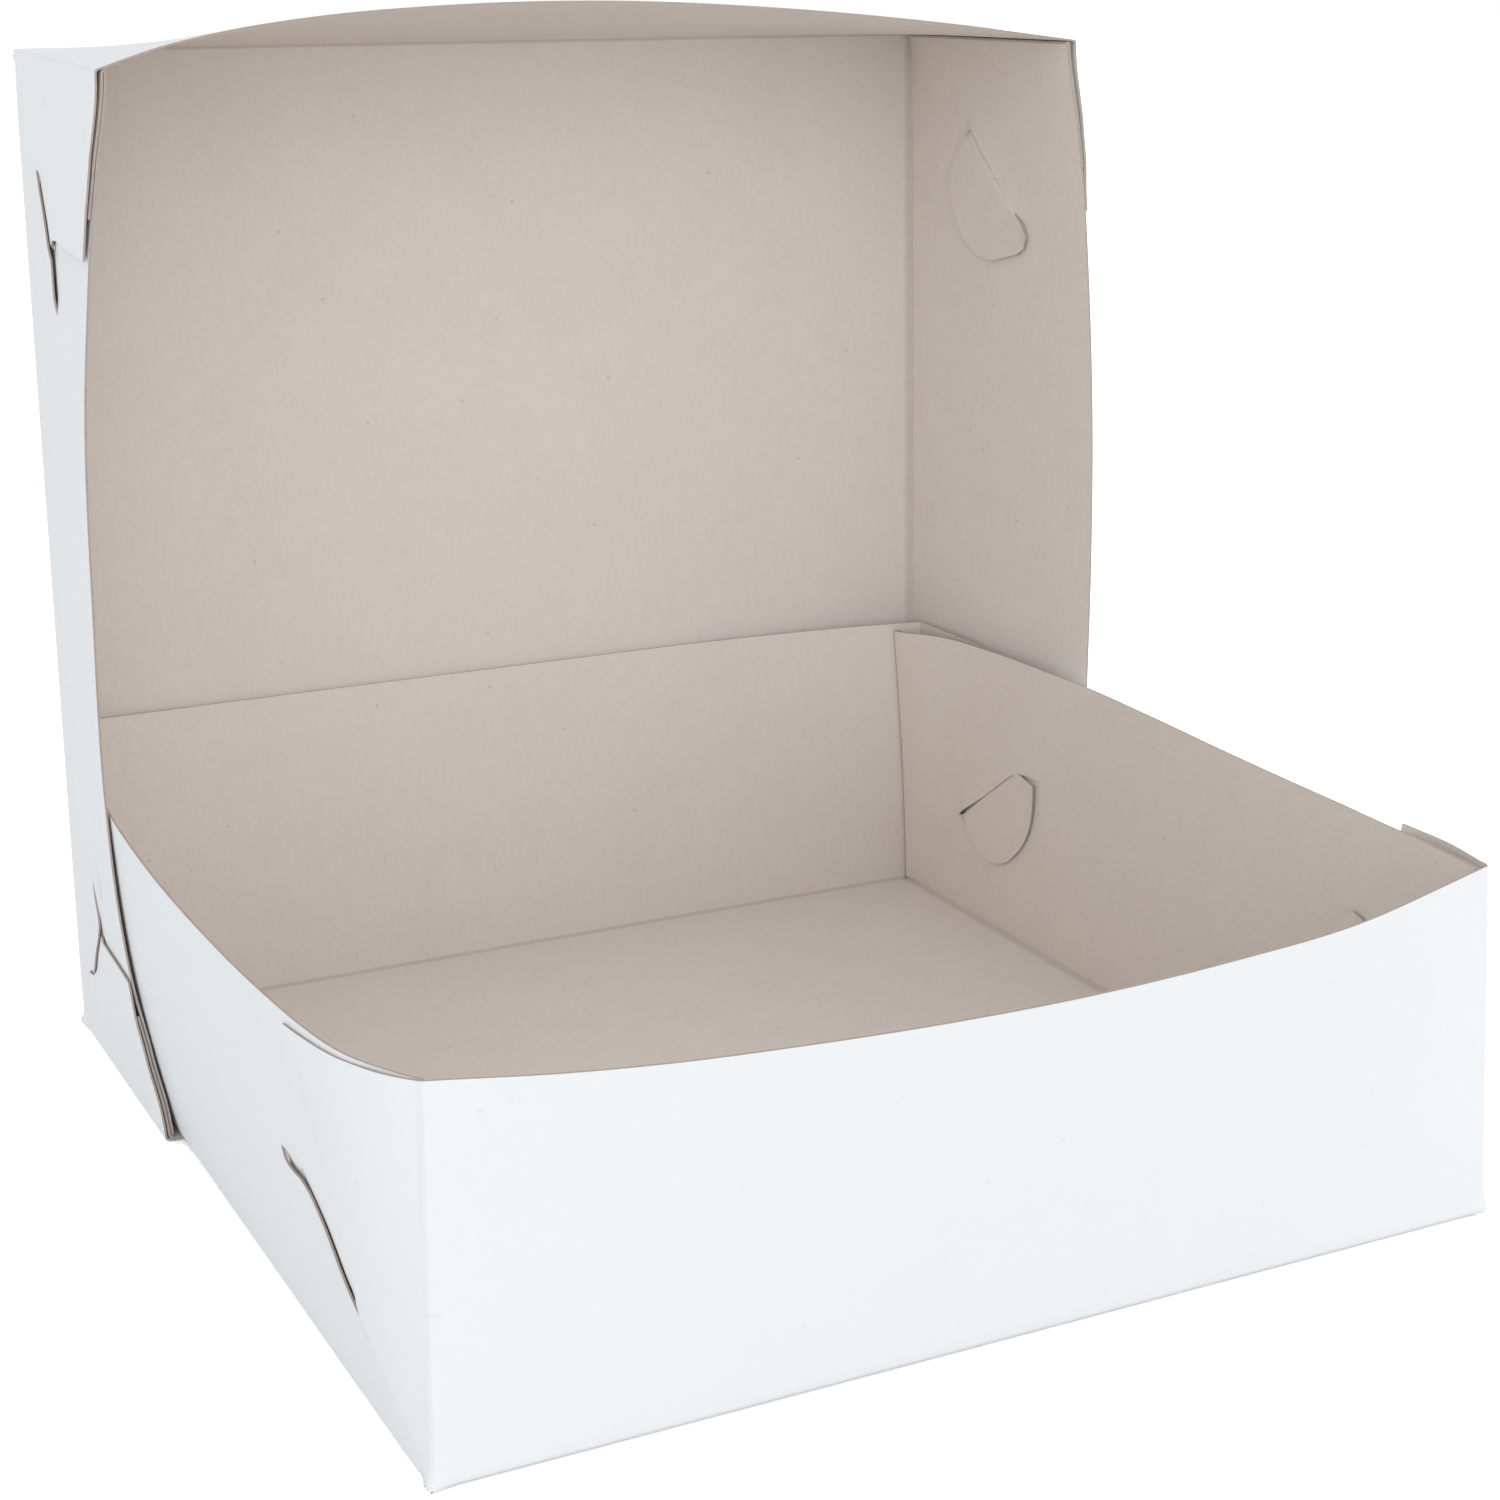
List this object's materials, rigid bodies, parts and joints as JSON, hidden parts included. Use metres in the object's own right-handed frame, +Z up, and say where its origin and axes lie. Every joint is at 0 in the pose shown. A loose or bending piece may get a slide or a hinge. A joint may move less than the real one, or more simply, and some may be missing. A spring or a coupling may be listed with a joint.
{
  "type": "cake box",
  "caption": "Square cake box of thin coated board: an open base tray with folded, slot-locked corners and softly bowed walls, and its separate tray lid standing on edge behind it",
  "frame": {"origin": "middle of the footprint of both trays together, on the table", "axes": "+Z up from the table; +Y from the base tray's front wall to the lid standing behind it; +X along the front wall, to the right as seen from the front"},
  "size_m": [0.332, 0.3388, 0.3224],
  "materials": {
    "board": "smooth white clay-coated outside with a slight cool cast, uncoated warm grey-beige inside, grey-brown cut edges"
  },
  "bodies": {
    "root": {"base_tray": "board", "lid_tray": "board"}
  },
  "joints": []
}
